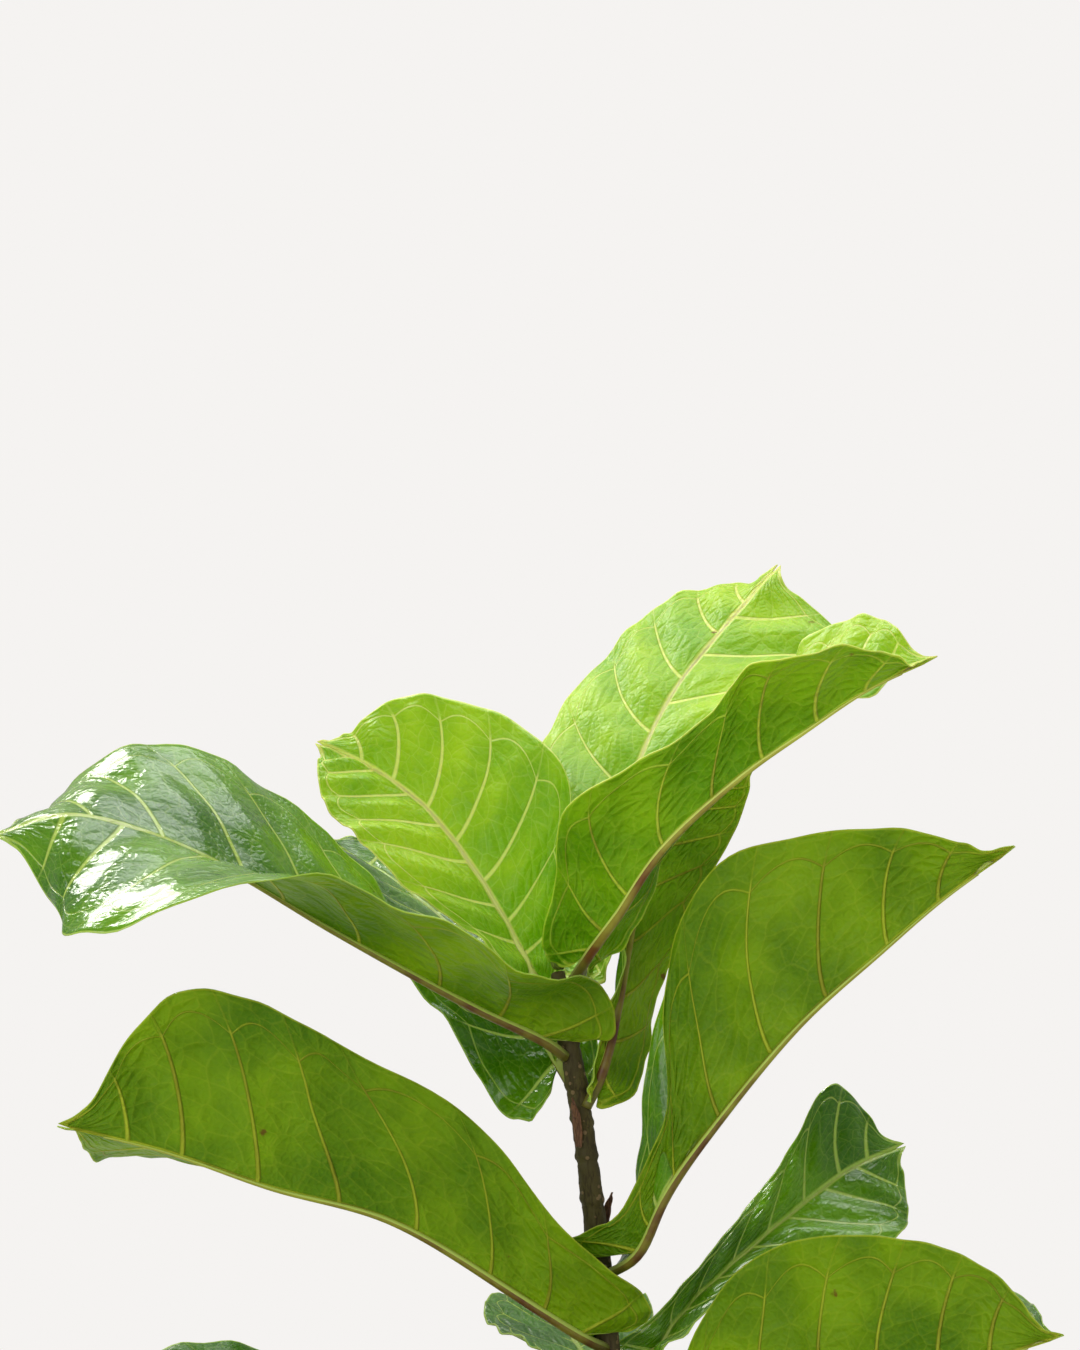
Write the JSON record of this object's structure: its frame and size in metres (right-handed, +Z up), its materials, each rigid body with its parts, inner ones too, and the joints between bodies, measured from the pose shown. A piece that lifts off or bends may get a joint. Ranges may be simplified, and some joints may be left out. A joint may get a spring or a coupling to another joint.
{
  "type": "potted fiddle leaf fig",
  "caption": "Young fiddle leaf fig grown as a small tree, with folded violin-shaped leaves on one slim stem, in a plain round clay pot with soil.",
  "frame": {"origin": "centre of the pot's flat underside, on the surface it stands on", "axes": "+Z up along the pot's axis; -Y is the front, and +X is to the viewer's right from there"},
  "size_m": [0.3991, 0.3177, 0.5831],
  "materials": {
    "clay": "unglazed, matt, slightly mottled",
    "soil": "coarse damp potting mix",
    "bark": "brown-green young bark, satin",
    "leaf": "glossy above, satin below, pale veins",
    "young_leaf": "glossy, light lime green, pale veins",
    "bud": "satin green-brown sheath",
    "dry_scale": "dry, papery, brown"
  },
  "bodies": {
    "root": {"pot": "clay", "soil": "soil", "stem": "bark", "terminal_bud": "bud", "stipule_1": "dry_scale", "stipule_2": "dry_scale", "stipule_3": "dry_scale", "stipule_4": "dry_scale", "leaf_top_right": "young_leaf", "leaf_top_back": "young_leaf", "leaf_top_front": "young_leaf", "leaf_upper_left": "leaf", "leaf_upper_back": "leaf", "leaf_upper_right": "leaf", "leaf_middle_right": "leaf", "leaf_middle_left": "leaf", "leaf_lower_right": "leaf", "leaf_lower_back": "leaf", "leaf_bottom_right": "leaf", "leaf_bottom_left": "leaf", "leaf_bottom_back": "leaf", "leaf_bottom_front": "leaf"}
  },
  "joints": []
}
